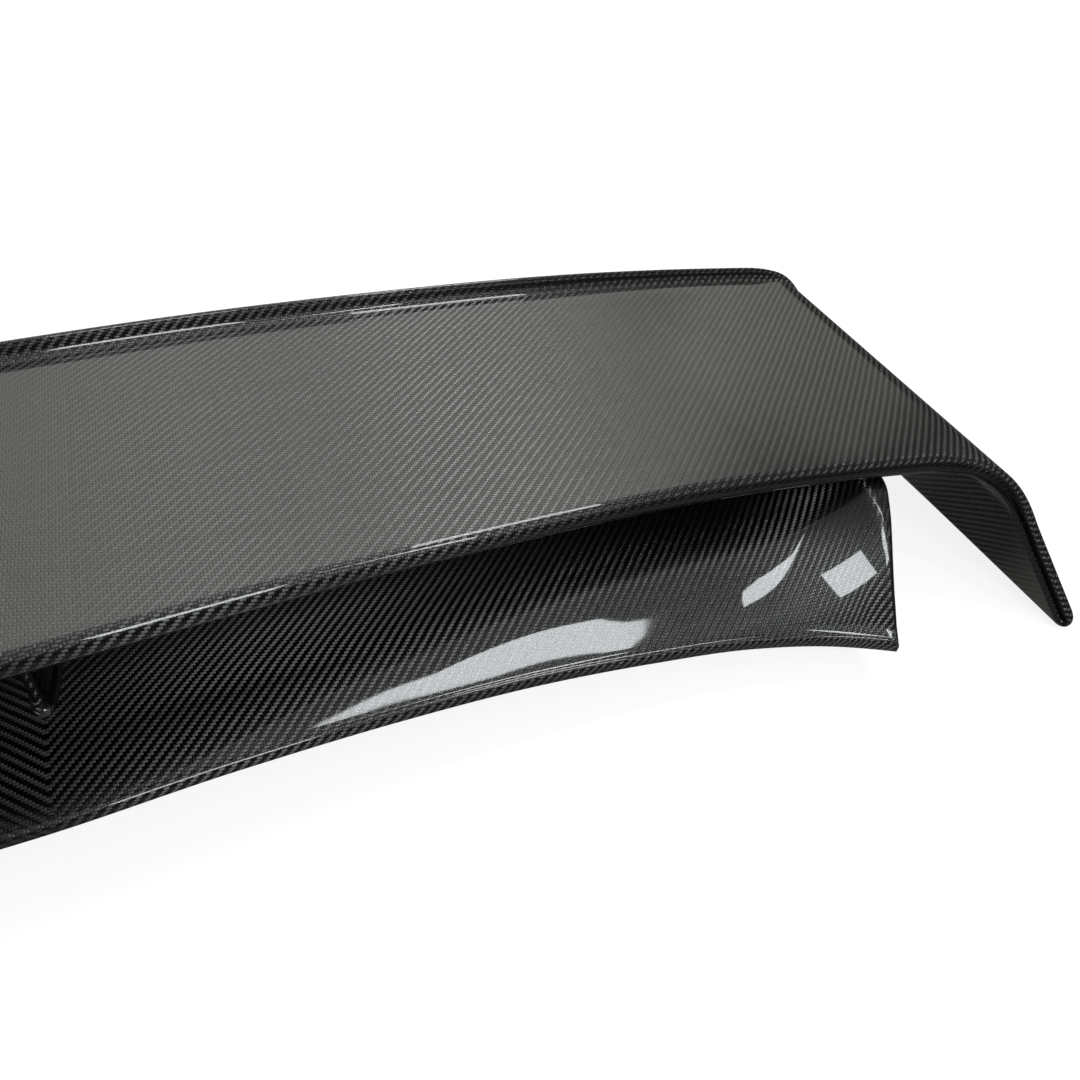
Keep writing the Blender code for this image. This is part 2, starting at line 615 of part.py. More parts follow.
# ------------------------------------------------------------------ origin: bottom centre of the wing's box
solid = [ob for ob in bpy.data.objects if not ob.hide_render]
OX = 0.0
OY = 500.0 * (min(v.co.y for ob in solid for v in ob.data.vertices) + max(v.co.y for ob in solid for v in ob.data.vertices))
OZ = 1000.0 * min(v.co.z for ob in solid for v in ob.data.vertices)
seen = set()
for ob in bpy.data.objects:
    if ob.data.name in seen:
        continue
    seen.add(ob.data.name)
    for v in ob.data.vertices:
        v.co.y -= OY * 0.001
        v.co.z -= OZ * 0.001
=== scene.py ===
"""Looks for the racing rear wing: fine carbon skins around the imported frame, lights and camera."""
import bpy, bmesh
import numpy as np
from math import pi, sin, cos, tan, atan, radians, sqrt
from mathutils import Vector, Matrix


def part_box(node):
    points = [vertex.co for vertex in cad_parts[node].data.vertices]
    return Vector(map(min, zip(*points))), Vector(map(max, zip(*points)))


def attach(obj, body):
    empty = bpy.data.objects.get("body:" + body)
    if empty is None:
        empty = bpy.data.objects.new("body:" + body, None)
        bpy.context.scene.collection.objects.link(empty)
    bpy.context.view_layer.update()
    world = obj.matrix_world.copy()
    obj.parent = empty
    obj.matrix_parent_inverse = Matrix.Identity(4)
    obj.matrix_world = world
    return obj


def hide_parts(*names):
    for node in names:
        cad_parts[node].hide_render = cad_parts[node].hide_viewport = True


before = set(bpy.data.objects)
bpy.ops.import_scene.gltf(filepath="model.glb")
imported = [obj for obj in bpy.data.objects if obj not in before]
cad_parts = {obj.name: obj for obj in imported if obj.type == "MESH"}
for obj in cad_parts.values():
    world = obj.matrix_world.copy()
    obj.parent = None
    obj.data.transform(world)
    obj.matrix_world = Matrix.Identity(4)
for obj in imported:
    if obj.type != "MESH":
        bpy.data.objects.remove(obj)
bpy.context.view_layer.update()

# ------------------------------------------------------------------ the wing's own surfaces, mm
ARCH = 1.68e-4
X_BEND = 617.0
R_BEND = 57.0
DROOP = radians(69.0)
S_END = 746.5
FLARE = 8.0e-5
DROOP_FALL = 0.0594
T_BLADE = 15.0
T_REAR = 9.0
SKIN = 2.0
LIP_H = 11.4
INCIDENCE = radians(3.4)
LEADING = [(0, 4.2), (60, 5.6), (110, 7.9), (165, 10.7), (253, 14.6), (316, 17.7), (372, 20.3), (432, 21.2),
           (497, 21.0), (560, 20.6), (590, 19.3), (612, 14.0), (640, -1.0), (675, -24.0), (703, -47.0),
           (736, -74.0), (770, -102.0)]
TRAILING = [(0, 260.5), (120, 262.5), (270, 267.5), (350, 273.0), (440, 281.0), (535, 289.5),
            (600, 294.5), (650, 294.5), (700, 284.0), (770, 256.0)]
X_BASE_FRONT = 517.0
X_BASE_TOP = 545.0
Y_BLEND = 45.0
Y_BASE_REAR = 215.0
Z_FLAT = -97.0
BASE_WALL = 2.4
BASE_LIP = 6.0
FRONT_EDGE = [(0, -13.7), (90, -9.4), (180, -6.8), (270, -8.2), (350, -15.2), (420, -25.2),
              (480, -42.2), (517, -58.7), (560, -82.0)]
END_LINE = [(0.0, 545.0), (0.224, 543.5), (0.336, 538.0), (0.55, 528.5), (0.738, 522.5),
            (0.907, 519.0), (1.0, 517.0)]
BOND_GAP = 1.0
POST_Y, POST_LEN, POST_W = 104.0, 100.0, 16.0
GAP = 0.3
CI, SI = cos(INCIDENCE), sin(INCIDENCE)
POST_YP = POST_Y + 97.0 * SI


def spline(tab, x):
    tx = np.array([p[0] for p in tab], float)
    ty = np.array([p[1] for p in tab], float)
    d = np.gradient(ty, tx)
    if tx[0] == 0:
        d[0] = 0.0
    x = np.clip(np.asarray(x, float), tx[0], tx[-1])
    i = np.clip(np.searchsorted(tx, x, side="right") - 1, 0, len(tx) - 2)
    h = tx[i + 1] - tx[i]
    t = (x - tx[i]) / h
    return ((2 * t**3 - 3 * t**2 + 1) * ty[i] + (t**3 - 2 * t**2 + t) * h * d[i]
            + (-2 * t**3 + 3 * t**2) * ty[i + 1] + (t**3 - t**2) * h * d[i + 1])


def smooth(t):
    t = np.clip(t, 0.0, 1.0)
    return t * t * (3 - 2 * t)


def softmin(a, b, k):
    h = np.clip(0.5 + 0.5 * (b - a) / k, 0, 1)
    return b * (1 - h) + a * h - k * h * (1 - h)


def tip_frame(p):
    p = np.asarray(p, float)
    q = p.copy()
    q[..., 1] = p[..., 1] * CI - p[..., 2] * SI
    q[..., 2] = p[..., 1] * SI + p[..., 2] * CI
    return q


TH0 = atan(2 * ARCH * X_BEND)
S_BEND = R_BEND * (DROOP - TH0)


def centreline(s):
    s = np.asarray(s, float)
    x = np.minimum(s, X_BEND)
    z = -ARCH * x * x
    th = np.arctan(2 * ARCH * x)
    a = np.clip(s - X_BEND, 0, S_BEND) / R_BEND
    th = np.where(s > X_BEND, TH0 + a, th)
    x = x + R_BEND * (np.sin(TH0 + a) - sin(TH0))
    z = z - R_BEND * (cos(TH0) - np.cos(TH0 + a))
    l = np.maximum(s - X_BEND - S_BEND, 0)
    return x + l * cos(DROOP), z - l * sin(DROOP), th


def fall(s, y):
    return smooth((s - X_BEND) / (S_END - X_BEND - 20)) * DROOP_FALL * (y + 70.0)


def blade_point(s, y, h, side=1.0):
    x, z, th = centreline(s + fall(s, y))
    x, z = x + h * np.sin(th), z + h * np.cos(th)
    return tip_frame(np.stack([side * x * (1 + FLARE * y), y + 0 * x, z], -1))


def thickness(s):
    r = T_BLADE / 2
    q = np.clip((s - (S_END - r)) / r, 0, 1)
    return float(np.maximum(T_BLADE * np.sqrt(1 - q * q), 5.4))


def edges(s):
    rc, rr = 12.0, 26.0
    q = np.clip((s - (S_END - rc)) / rc, 0, 1)
    q2 = np.clip((s - (S_END - rr)) / rr, 0, 1)
    y0 = spline(LEADING, s) + rc * (1 - np.sqrt(1 - (0.97 * q)**2))
    y1 = spline(TRAILING, s) - rr * (1 - np.sqrt(1 - (0.97 * q2)**2))
    return float(y0), float(y1)


def front_z(x):
    return -106.0 - 0.083 * (np.sqrt(x * x + 6400.0) - 80.0)


def base_flat(x, y):
    raw = Z_FLAT + 31.0 * np.maximum(0.0, (x - 405.0) / 117.0) ** 3
    cap = -ARCH * x * x - (T_BLADE + (T_REAR - T_BLADE) * np.clip((y - 27) / 262.0, 0, 1)) - BOND_GAP - 0.35
    return softmin(raw, cap, 3.0)


def base_top(u, t, y=None):
    xf = u * X_BASE_FRONT
    yf = float(spline(FRONT_EDGE, xf))
    x = u * float(spline(END_LINE, t))
    if y is None:
        y = Y_BLEND + (yf - Y_BLEND) * t
    p = 1.35 + 0.65 * float(smooth((xf - 330.0) / 187.0))
    zt = float(base_flat(x, y))
    ze = float(front_z(xf))
    return x, y, zt - (zt - ze) * t ** p


def base_under(x, y):
    xf = min(abs(x), X_BASE_FRONT)
    return float(front_z(xf)) - BASE_LIP - 0.02 * (y + 17.5)


def solve_on(fun, x, y):
    yb = y
    for _ in range(12):
        z = float(fun(x, yb))
        yb += y - (yb * CI - z * SI)
    return yb * SI + float(fun(x, yb)) * CI


def blade_under(x, y):
    x = abs(x) / (1 + FLARE * y)
    y0, y1 = float(spline(LEADING, x)) + T_BLADE / 2, float(spline(TRAILING, x)) + 4.1
    f = min(max((y - y0) / (y1 - y0), 0), 1)
    return -ARCH * x * x - (T_BLADE + (T_REAR - T_BLADE) * f) / cos(atan(2 * ARCH * x))


# the shift into the row frame: the top of the lip at the centre and the middle of the post's depth sit as the CAD has
# them
POST_LO, POST_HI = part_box("centre_post")
_s = blade_point(np.array([0.0]), np.array([260.5 + 3.0]), np.array([LIP_H]))[0]
LO_U, HI_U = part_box("blade_upper_skin")
OZ = _s[2] - HI_U[2] * 1000.0
# the front edge of the post's foot and its rear fix the shift along Y
_ys = []
for f, kl in ((0.0, 1.10), (1.0, 1.06)):
    for i in range(28):
        a = 2 * pi * i / 28
        _ys.append(POST_YP + 4.0 * f + POST_LEN / 2 * kl * sin(a))
OY = 0.5 * ((min(_ys) - POST_LO[1] * 1000.0) + (max(_ys) - POST_HI[1] * 1000.0))


def row(p):
    """tip-frame millimetres to row-frame metres"""
    p = np.asarray(p, float).copy()
    p[..., 0] *= 1 - 0.00032 * np.minimum((p[..., 0] / 700.0) ** 4, 1.05)
    p[..., 1] = (p[..., 1] - OY) * 0.9999
    p[..., 2] -= OZ
    return p * 0.001


# ------------------------------------------------------------------ camera at the photograph's angle
CAM = np.array([138.1, -286.2, 302.3])
CR, CU, CB = np.array([0.9225, -0.3842, 0.0361]), np.array([0.2463, 0.6584, 0.7112]), np.array([-0.2970, -0.6472, 0.7020])
cam_data = bpy.data.cameras.new("camera")
cam = bpy.data.objects.new("camera", cam_data)
bpy.context.scene.collection.objects.link(cam)
r, b = tip_frame(CR), tip_frame(CB)
r = r / np.linalg.norm(r)
b = b - r * np.dot(r, b); b /= np.linalg.norm(b)
u = np.cross(b, r)
M = Matrix(((r[0], u[0], b[0], 0), (r[1], u[1], b[1], 0), (r[2], u[2], b[2], 0), (0, 0, 0, 1)))
loc = row(tip_frame(CAM))
M.translation = Vector(loc)
cam.matrix_world = M
cam_data.sensor_width = 36.0
cam_data.lens = 835.0 / 1080.0 * 36.0
cam_data.clip_start, cam_data.clip_end = 0.02, 60.0
bpy.context.scene.camera = cam


# ------------------------------------------------------------------ materials
def N(nt, kind, **kw):
    n = nt.nodes.new(kind)
    for k, v in kw.items():
        setattr(n, k, v)
    return n


class G:
    """short hand for maths on one node tree"""

    def __init__(self, nt):
        self.nt = nt

    def m(self, op, a, b=None, c=None, clamp=False):
        n = N(self.nt, "ShaderNodeMath", operation=op, use_clamp=clamp)
        for i, v in enumerate((a, b, c)):
            if v is None:
                continue
            if isinstance(v, (int, float)):
                n.inputs[i].default_value = v
            else:
                self.nt.links.new(v, n.inputs[i])
        return n.outputs[0]

    def vm(self, op, a, b=None, scale=None):
        n = N(self.nt, "ShaderNodeVectorMath", operation=op)
        for i, v in enumerate((a, b)):
            if v is None:
                continue
            if isinstance(v, (tuple, list)):
                n.inputs[i].default_value = v
            else:
                self.nt.links.new(v, n.inputs[i])
        if scale is not None:
            if isinstance(scale, (int, float)):
                n.inputs["Scale"].default_value = scale
            else:
                self.nt.links.new(scale, n.inputs["Scale"])
        return n.outputs["Value"] if op in ("DOT_PRODUCT", "LENGTH") else n.outputs["Vector"]

    def mixf(self, f, a, b):
        n = N(self.nt, "ShaderNodeMix", data_type="FLOAT")
        for i, v in zip((0, 2, 3), (f, a, b)):
            if isinstance(v, (int, float)):
                n.inputs[i].default_value = v
            else:
                self.nt.links.new(v, n.inputs[i])
        return n.outputs[0]

    def mixc(self, f, a, b):
        n = N(self.nt, "ShaderNodeMix", data_type="RGBA")
        for i, v in zip((0, 6, 7), (f, a, b)):
            if isinstance(v, (int, float)):
                n.inputs[i].default_value = v
            elif isinstance(v, tuple):
                n.inputs[i].default_value = (*v, 1)
            else:
                self.nt.links.new(v, n.inputs[i])
        return n.outputs[2]

    def mixv(self, f, a, b):
        n = N(self.nt, "ShaderNodeMix", data_type="VECTOR")
        for i, v in zip((0, 4, 5), (f, a, b)):
            if isinstance(v, (int, float)):
                n.inputs[i].default_value = v
            else:
                self.nt.links.new(v, n.inputs[i])
        return n.outputs[1]

    def noise(self, vec, scale, detail=2.0, rough=0.5):
        n = N(self.nt, "ShaderNodeTexNoise", noise_dimensions="3D")
        n.inputs["Scale"].default_value = scale
        n.inputs["Detail"].default_value = detail
        n.inputs["Roughness"].default_value = rough
        self.nt.links.new(vec, n.inputs["Vector"])
        return n.outputs["Fac"]


TOW = 1.667
RIB = 1.0     # +1: ribs climb with u and v


def new_mat(name):
    m = bpy.data.materials.new(name)
    m.use_nodes = True
    nt = m.node_tree
    nt.nodes.clear()
    out = N(nt, "ShaderNodeOutputMaterial")
    p = N(nt, "ShaderNodeBsdfPrincipled")
    nt.links.new(p.outputs[0], out.inputs[0])
    return m, nt, p, G(nt)


def carbon(name, coat=1.0, coat_rough=0.03, bump=0.35, dark=(0.010, 0.0103, 0.0112), light=(0.196, 0.199, 0.199),
           spec=0.5, ior=1.5, aniso=1.0, rough=0.50, rib=RIB, flat=False):
    """2x2 twill under lacquer: cloth is (u, v, edge) in mm, warp_dir is the direction of +v in space.
    A flat piece carries no cloth attributes: its own x and y are the cloth's."""
    m, nt, p, g = new_mat(name)
    tc = N(nt, "ShaderNodeTexCoord")
    sep = N(nt, "ShaderNodeSeparateXYZ")
    if flat:
        nt.links.new(g.vm("SCALE", tc.outputs["Object"], scale=1000.0), sep.inputs[0])
    else:
        at = N(nt, "ShaderNodeAttribute", attribute_name="cloth")
        nt.links.new(at.outputs["Vector"], sep.inputs[0])
    # hand-laid cloth wanders by a fraction of a tow
    w1 = g.noise(tc.outputs["Object"], 9.0, 1.0)
    w2 = g.noise(tc.outputs["Object"], 13.0, 1.0)
    U = g.m("ADD", g.m("DIVIDE", sep.outputs[0], TOW), g.m("MULTIPLY", g.m("SUBTRACT", w1, 0.5), 1.3))
    V = g.m("ADD", g.m("DIVIDE", sep.outputs[1], TOW), g.m("MULTIPLY", g.m("SUBTRACT", w2, 0.5), 1.3))
    i, j = g.m("FLOOR", U), g.m("FLOOR", V)
    fu, fv = g.m("SUBTRACT", g.m("FRACT", U), 0.5), g.m("SUBTRACT", g.m("FRACT", V), 0.5)
    # rib direction: subtracting makes ribs climb with +u +v
    a = g.m("FLOORED_MODULO", g.m("SUBTRACT", V, i), 4.0) if rib > 0 else g.m("FLOORED_MODULO", g.m("ADD", V, i), 4.0)
    warp = g.m("LESS_THAN", a, 2.0)
    bq = g.m("FLOORED_MODULO", g.m("SUBTRACT", g.m("SUBTRACT", j, U), -1.0), 4.0) if rib > 0 else g.m("FLOORED_MODULO", g.m("ADD", U, j), 4.0)
    # position along the visible float, -1..1
    pw = g.m("SUBTRACT", a, 1.0)
    pf = g.m("SUBTRACT", bq, 3.0)
    cw = g.m("SUBTRACT", 1.0, g.m("POWER", g.m("ABSOLUTE", g.m("MULTIPLY", fu, 2.0)), 3.0))
    cf = g.m("SUBTRACT", 1.0, g.m("POWER", g.m("ABSOLUTE", g.m("MULTIPLY", fv, 2.0)), 3.0))
    lw = g.m("SUBTRACT", 1.0, g.m("POWER", g.m("ABSOLUTE", pw), 3.0))
    lf = g.m("SUBTRACT", 1.0, g.m("POWER", g.m("ABSOLUTE", pf), 3.0))
    hw = g.m("MULTIPLY", g.m("MAXIMUM", cw, 0.0), g.m("SQRT", g.m("MAXIMUM", lw, 0.0)))
    hf = g.m("MULTIPLY", g.m("MAXIMUM", cf, 0.0), g.m("SQRT", g.m("MAXIMUM", lf, 0.0)))
    h = g.mixf(warp, hf, hw)
    # filaments along each tow
    comb = N(nt, "ShaderNodeCombineXYZ")
    nt.links.new(g.mixf(warp, g.m("MULTIPLY", U, 0.25), g.m("MULTIPLY", U, 5.0)), comb.inputs[0])
    nt.links.new(g.mixf(warp, g.m("MULTIPLY", V, 5.0), g.m("MULTIPLY", V, 0.25)), comb.inputs[1])
    nt.links.new(warp, comb.inputs[2])
    fil = g.noise(comb.outputs[0], 1.0, 2.0, 0.6)
    # each tow has its own tone
    tow_id = N(nt, "ShaderNodeCombineXYZ")
    nt.links.new(g.mixf(warp, 0.0, i), tow_id.inputs[0])
    nt.links.new(g.mixf(warp, j, 0.0), tow_id.inputs[1])
    wn = N(nt, "ShaderNodeTexWhiteNoise", noise_dimensions="3D")
    nt.links.new(tow_id.outputs[0], wn.inputs["Vector"])
    tone = g.m("ADD", 0.86, g.m("MULTIPLY", wn.outputs["Value"], 0.28))
    # a resin-rich edge hides the weave
    edge = 1.0 if flat else g.m("SUBTRACT", 1.0, g.m("MINIMUM", sep.outputs[2], 1.0), clamp=True)
    bright = g.m("MULTIPLY", g.m("MULTIPLY", h, g.m("ADD", 0.65, g.m("MULTIPLY", fil, 0.7))), tone)
    # painted shade: the warp tows are darkened to 0.72 of the weft tows, a difference that on the real weave comes
    # from the direction of the light
    bright = g.m("MULTIPLY", bright, g.mixf(warp, 1.0, 0.72))
    bright = g.m("MULTIPLY", bright, edge, clamp=True)
    col = g.mixc(bright, dark, light)
    nt.links.new(col, p.inputs["Base Color"])
    nt.links.new(g.m("ADD", rough, g.m("MULTIPLY", g.m("SUBTRACT", 1.0, h), 0.18)), p.inputs["Roughness"])
    p.inputs["Metallic"].default_value = 1.0        # graphite filaments reflect like a dark metal
    p.inputs["Specular IOR Level"].default_value = spec
    p.inputs["IOR"].default_value = ior
    p.inputs["Anisotropic"].default_value = aniso
    if flat:
        wd, fd = N(nt, "ShaderNodeCombineXYZ"), N(nt, "ShaderNodeCombineXYZ")
        wd.inputs[1].default_value = fd.inputs[0].default_value = 1.0
    else:
        wd = N(nt, "ShaderNodeAttribute", attribute_name="warp_dir")
        fd = N(nt, "ShaderNodeAttribute", attribute_name="weft_dir")
    # highlights spread across the fibres
    tan_ = g.mixv(warp, wd.outputs["Vector"], fd.outputs["Vector"])
    nt.links.new(tan_, p.inputs["Tangent"])
    bm_ = N(nt, "ShaderNodeBump")
    bm_.inputs["Strength"].default_value = bump
    bm_.inputs["Distance"].default_value = 0.00022
    nt.links.new(g.m("MULTIPLY", g.m("ADD", h, g.m("MULTIPLY", fil, 0.25)), edge), bm_.inputs["Height"])
    nt.links.new(bm_.outputs[0], p.inputs["Normal"])
    if coat:
        p.inputs["Coat Weight"].default_value = coat
        p.inputs["Coat Roughness"].default_value = coat_rough
        p.inputs["Coat IOR"].default_value = 1.5
    return m


GLOSS = carbon("gloss_twill")
SATIN = carbon("satin_twill", coat=0.25, coat_rough=0.35, dark=(0.014, 0.014, 0.015), light=(0.12, 0.121, 0.122), rough=0.6, aniso=0.8, flat=True)


def metal(name, base, rough, brushed=0.0, scale=60.0):
    m, nt, p, g = new_mat(name)
    tc = N(nt, "ShaderNodeTexCoord")
    n1 = g.noise(tc.outputs["Object"], scale * 6, 4.0, 0.6)
    n2 = g.noise(tc.outputs["Object"], scale * 40, 2.0, 0.5)
    col = g.mixc(n1, tuple(c * 0.86 for c in base), base)
    nt.links.new(col, p.inputs["Base Color"])
    p.inputs["Metallic"].default_value = 1.0
    nt.links.new(g.m("ADD", rough - 0.06, g.m("MULTIPLY", n1, 0.14)), p.inputs["Roughness"])
    b_ = N(nt, "ShaderNodeBump")
    b_.inputs["Strength"].default_value = 0.12
    b_.inputs["Distance"].default_value = 0.00005
    nt.links.new(n2, b_.inputs["Height"])
    nt.links.new(b_.outputs[0], p.inputs["Normal"])
    return m


ALU = metal("machined_aluminium", (0.68, 0.69, 0.71), 0.34)
STEEL = metal("passivated_steel", (0.56, 0.555, 0.54), 0.28)


def rubber(name, base, rough, scale, bump):
    m, nt, p, g = new_mat(name)
    tc = N(nt, "ShaderNodeTexCoord")
    n1 = g.noise(tc.outputs["Object"], scale, 5.0, 0.7)
    nt.links.new(g.mixc(n1, tuple(c * 0.7 for c in base), tuple(c * 1.35 for c in base)), p.inputs["Base Color"])
    nt.links.new(g.m("ADD", rough - 0.08, g.m("MULTIPLY", n1, 0.16)), p.inputs["Roughness"])
    b_ = N(nt, "ShaderNodeBump")
    b_.inputs["Strength"].default_value = bump
    b_.inputs["Distance"].default_value = 0.0002
    nt.links.new(n1, b_.inputs["Height"])
    nt.links.new(b_.outputs[0], p.inputs["Normal"])
    return m


RUBBER = rubber("closed_cell_rubber", (0.016, 0.016, 0.017), 0.82, 1600.0, 0.5)
SPARM = rubber("pultruded_carbon", (0.028, 0.028, 0.030), 0.5, 500.0, 0.25)


# ------------------------------------------------------------------ mesh helpers
def grid_piece(name, outer, inner, cu, cv, edge, mat, wrap=False, smooth_deg=38.0):
    """closed thick sheet from matching point grids in row metres, with cloth attributes on its vertices.
    cu, cv in mm and edge 0..1 are grids of the same shape as outer."""
    outer, inner = np.asarray(outer, float), np.asarray(inner, float)
    a, b = outer.shape[:2]
    verts = np.concatenate([outer.reshape(-1, 3), inner.reshape(-1, 3)])
    idx = np.arange(a * b).reshape(a, b)
    nx = idx + a * b
    faces = []
    for i in range(a - 1):
        for j in range(b - 1):
            faces.append((idx[i, j], idx[i + 1, j], idx[i + 1, j + 1], idx[i, j + 1]))
            faces.append((nx[i, j], nx[i, j + 1], nx[i + 1, j + 1], nx[i + 1, j]))
    for i in range(a - 1):
        for j, flip in ((0, False), (b - 1, True)):
            q = (idx[i, j], nx[i, j], nx[i + 1, j], idx[i + 1, j])
            faces.append(q[::-1] if flip else q)
    for j in range(b - 1):
        for i, flip in ((0, True), (a - 1, False)):
            q = (idx[i, j], nx[i, j], nx[i, j + 1], idx[i, j + 1])
            faces.append(q[::-1] if flip else q)
    me = bpy.data.meshes.new(name)
    me.from_pydata([tuple(v) for v in verts], [], [tuple(int(k) for k in f) for f in faces])
    bm = bmesh.new()
    bm.from_mesh(me)
    bmesh.ops.recalc_face_normals(bm, faces=bm.faces)
    bm.to_mesh(me)
    bm.free()
    # cloth directions by finite differences over the outer grid
    cu, cv, edge = (np.asarray(k, float) for k in (cu, cv, edge))
    du = np.zeros_like(outer); dv = np.zeros_like(outer)
    Pi, Pj = np.gradient(outer, axis=0), np.gradient(outer, axis=1)
    Ui, Uj = np.gradient(cu, axis=0), np.gradient(cu, axis=1)
    Vi, Vj = np.gradient(cv, axis=0), np.gradient(cv, axis=1)
    det = Ui * Vj - Uj * Vi
    det = np.where(np.abs(det) < 1e-9, 1e-9, det)
    du = (Pi * Vj[..., None] - Pj * Vi[..., None]) / det[..., None]
    dv = (Pj * Ui[..., None] - Pi * Uj[..., None]) / det[..., None]
    du /= np.maximum(np.linalg.norm(du, axis=-1, keepdims=True), 1e-12)
    dv /= np.maximum(np.linalg.norm(dv, axis=-1, keepdims=True), 1e-12)
    for nm, arr in (("cloth", np.stack([cu, cv, edge], -1)), ("weft_dir", du), ("warp_dir", dv)):
        at = me.attributes.new(nm, "FLOAT_VECTOR", "POINT")
        full = np.concatenate([arr.reshape(-1, 3), arr.reshape(-1, 3)])
        at.data.foreach_set("vector", full.astype(np.float32).ravel())
    ob = bpy.data.objects.new(name, me)
    bpy.context.scene.collection.objects.link(ob)
    me.materials.append(mat)
    me.shade_smooth()
    me.set_sharp_from_angle(angle=radians(smooth_deg))
    me.update()
    return ob


def refine(pts, n):
    """Catmull-Rom through a short polyline, n pieces to each span"""
    P = np.asarray(pts, float)
    Q = np.vstack([2 * P[0] - P[1], P, 2 * P[-1] - P[-2]])
    out = []
    for k in range(1, len(Q) - 2):
        p0, p1, p2, p3 = Q[k - 1], Q[k], Q[k + 1], Q[k + 2]
        d0, d1, d2 = (max(np.linalg.norm(q), 1e-6) ** 0.5 for q in (p1 - p0, p2 - p1, p3 - p2))
        m1 = (p2 - p1 + d1 * ((p1 - p0) / d0 - (p2 - p0) / (d0 + d1)))
        m2 = (p2 - p1 + d1 * ((p3 - p2) / d2 - (p3 - p1) / (d1 + d2)))
        for t in np.linspace(0, 1, n, endpoint=False):
            out.append((2 * t**3 - 3 * t**2 + 1) * p1 + (t**3 - 2 * t**2 + t) * m1
                       + (-2 * t**3 + 3 * t**2) * p2 + (t**3 - t**2) * m2)
    out.append(P[-1])
    return np.array(out)


def half_stations():
    s = list(np.arange(0, 600, 10.0)) + list(np.arange(600, 690, 2.0)) + list(np.arange(690, 730, 4.0))
    s += [S_END - 16.5 * (1 - sin(k / 12 * pi / 2)) for k in range(12)] + [S_END]
    return s


HALF = half_stations()
STATIONS = [-s for s in HALF[:0:-1]] + HALF


def arc(yc, hc, r, a0, a1, n):
    a = np.radians(np.linspace(a0, a1, n))
    return np.stack([yc + r * np.cos(a), hc + r * np.sin(a)], -1)


def upper_path(s):
    T = thickness(s); y0, y1 = edges(s); ht = -(T_BLADE - T) / 2
    tr = 5.2 + (T_REAR - 5.2) * (T - 5.4) / (T_BLADE - 5.4)
    lip = 1 - float(smooth((s - 590.0) / 75.0))
    H = LIP_H * (0.78 + 0.22 * (1 - float(smooth((s - 300) / 260))))
    k = H / LIP_H
    yc, hc = y0 + T / 2, ht - T / 2
    na = 34
    outer = [arc(yc, hc, T / 2, 218, 90, na)]
    inner = [arc(yc, hc, T / 2 - SKIN, 218, 90, na)]
    fs = np.linspace(0, 1, 15)[1:]
    ys = yc + fs * (y1 - 8 - yc)
    outer.append(np.stack([ys, 0 * ys + ht], -1))
    inner.append(np.stack([np.minimum(ys, y1 - 8.2), 0 * ys + ht - SKIN], -1))
    L = [(-8 + 8 * sin(a), 8 * k * (1 - cos(a))) for a in (pi / 12, pi / 6, pi / 4, pi / 3, 5 * pi / 12, pi / 2)]
    L += [(0.8, H - 2), (1.6, H - 0.6), (3.0, H), (4.4, H - 0.6), (5.0, H - 2), (6.0, 0.0),
          (6.5, -tr * 0.83), (6.5, -tr)]
    Nn = [(-6.6, 0), (-5.3, 0), (-4.0, 0), (-2.7, 0), (-1.3, 0), (0, 0), (1.0, 0), (2.5, -0.05), (4.2, -0.5),
          (5.4, -1.3), (6.1, -0.3 * tr), (6.5, -0.5 * tr), (6.5, -0.83 * tr), (6.5, -tr)]
    NI = [(-7.0, -2), (-6, -2), (-4.8, -2), (-3.5, -2), (-2.2, -2), (-1, -2), (0.5, -2), (1.5, -2.02), (2.6, -2.1),
          (3.4, -2.2), (4.0, -2.35), (4.4, -max(2.6, 0.55 * tr)), (4.4, -0.83 * tr), (4.4, -tr)]
    L, Nn, NI = np.array([(-8, 0)] + L), np.array([(-8, 0)] + Nn), np.array([(-8.2, -2)] + NI)
    O = lip * L + (1 - lip) * Nn
    O = refine(O, 5)[1:]
    t_src = np.linspace(0, len(NI) - 1, len(NI))
    t_new = np.linspace(0, len(NI) - 1, (len(NI) - 1) * 5 + 1)[1:]
    I = np.stack([np.interp(t_new, t_src, NI[:, 0]), np.interp(t_new, t_src, NI[:, 1])], -1)
    outer.append(O + (y1, ht)); inner.append(I + (y1, ht))
    outer, inner = np.vstack(outer), np.vstack(inner)
    # cloth: y on the flat, arc length beyond it
    seg = np.linalg.norm(np.diff(outer, axis=0), axis=1)
    cum = np.concatenate([[0], np.cumsum(seg)])
    v = cum - cum[na - 1] + outer[na - 1, 0]
    ea = np.zeros(len(outer))
    ang = np.linspace(218, 90, na)
    ea[:na] = np.clip((ang - 194) / 4.0, 0, 1)
    return outer, inner, v, ea


def lower_path(s):
    T = thickness(s); y0, y1 = edges(s); ht = -(T_BLADE - T) / 2
    tr = 5.2 + (T_REAR - 5.2) * (T - 5.4) / (T_BLADE - 5.4)
    yc, hc = y0 + T / 2, ht - T / 2
    ya, ha, yb, hb = y1 + 4.4 - GAP, ht - tr, yc, ht - T
    f = np.linspace(0, 1, 15)[:-1]
    flat = np.stack([ya + (yb - ya) * f, ha + (hb - ha) * f], -1)
    outer = np.vstack([flat, arc(yc, hc, T / 2, 270, 220.5, 14)])
    inner = np.vstack([flat + (0, SKIN), arc(yc, hc, T / 2 - SKIN, 270, 221.5, 14)])
    seg = np.linalg.norm(np.diff(outer, axis=0), axis=1)
    cum = np.concatenate([[0], np.cumsum(seg)])
    v = -(cum - cum[14]) + outer[14, 0]
    ea = np.zeros(len(outer))
    ea[14:] = np.clip((np.linspace(270, 220.5, 14) - 226) / -4.0, 0, 1)
    return outer, inner, v, ea


